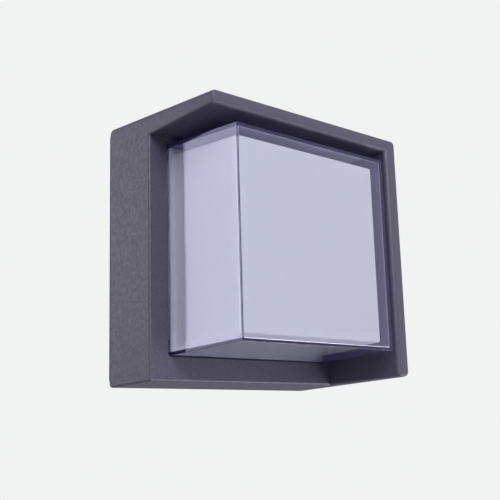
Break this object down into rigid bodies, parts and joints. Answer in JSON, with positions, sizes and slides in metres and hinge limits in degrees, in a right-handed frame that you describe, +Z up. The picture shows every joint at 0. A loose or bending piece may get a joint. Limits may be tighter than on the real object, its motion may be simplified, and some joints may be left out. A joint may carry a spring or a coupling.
{
  "type": "outdoor wall lantern",
  "caption": "Square outdoor wall lantern: dark cast base with a roof and one side wall, clear box cover over a white diffuser, LED board, driver and wall plate.",
  "frame": {"origin": "on the wall plane, midway between the two wall screw slots, which is the middle of the square base", "axes": "+Y into the wall, so the lantern stands out towards -Y; +Z up; +X to the right for a viewer facing the wall"},
  "size_m": [0.16, 0.103, 0.16],
  "materials": {
    "coated_casting": "dark anthracite powder coat, fine texture, satin",
    "clear_plastic": "clear moulded polycarbonate, polished",
    "black_rubber": "matt silicone rubber",
    "zinc_steel": "zinc plated",
    "opal_plastic": "opal white, satin, diffusing",
    "white_plastic": "moulded, satin",
    "board_white": "white solder lacquer on aluminium",
    "led_yellow": "phosphor yellow lens",
    "pad_grey": "soft heat pad",
    "lead_red": "insulated lead",
    "lead_black": "insulated lead",
    "lead_blue": "insulated lead",
    "lead_brown": "insulated lead",
    "lead_green_yellow": "insulated lead",
    "board_green": "glass-fibre circuit board with components",
    "brass": "plain",
    "foam": "closed-cell foam"
  },
  "bodies": {
    "root": {"housing": "coated_casting", "clear_cover": "clear_plastic", "cover_gasket": "black_rubber", "cover_screws": "zinc_steel", "diffuser": "opal_plastic", "reflector_tray": "white_plastic", "led_board": "board_white", "led_chips": "led_yellow", "board_connector": "white_plastic", "thermal_pad": "pad_grey", "board_screws": "zinc_steel", "lead_grommet": "black_rubber", "plus_lead": "lead_red", "minus_lead": "lead_black", "driver_case": "white_plastic", "driver_lid": "white_plastic", "driver_board": "board_green", "driver_screws": "zinc_steel", "live_lead": "lead_brown", "neutral_lead": "lead_blue", "terminal_block": "white_plastic", "terminal_sleeves": "brass", "terminal_screws": "zinc_steel", "block_screw": "zinc_steel", "wall_plate": "zinc_steel", "plate_tabs": "zinc_steel", "cable_bush": "black_rubber", "wall_seal": "foam", "retaining_screws": "zinc_steel", "earth_lead": "lead_green_yellow", "earth_screw": "brass"}
  },
  "joints": []
}
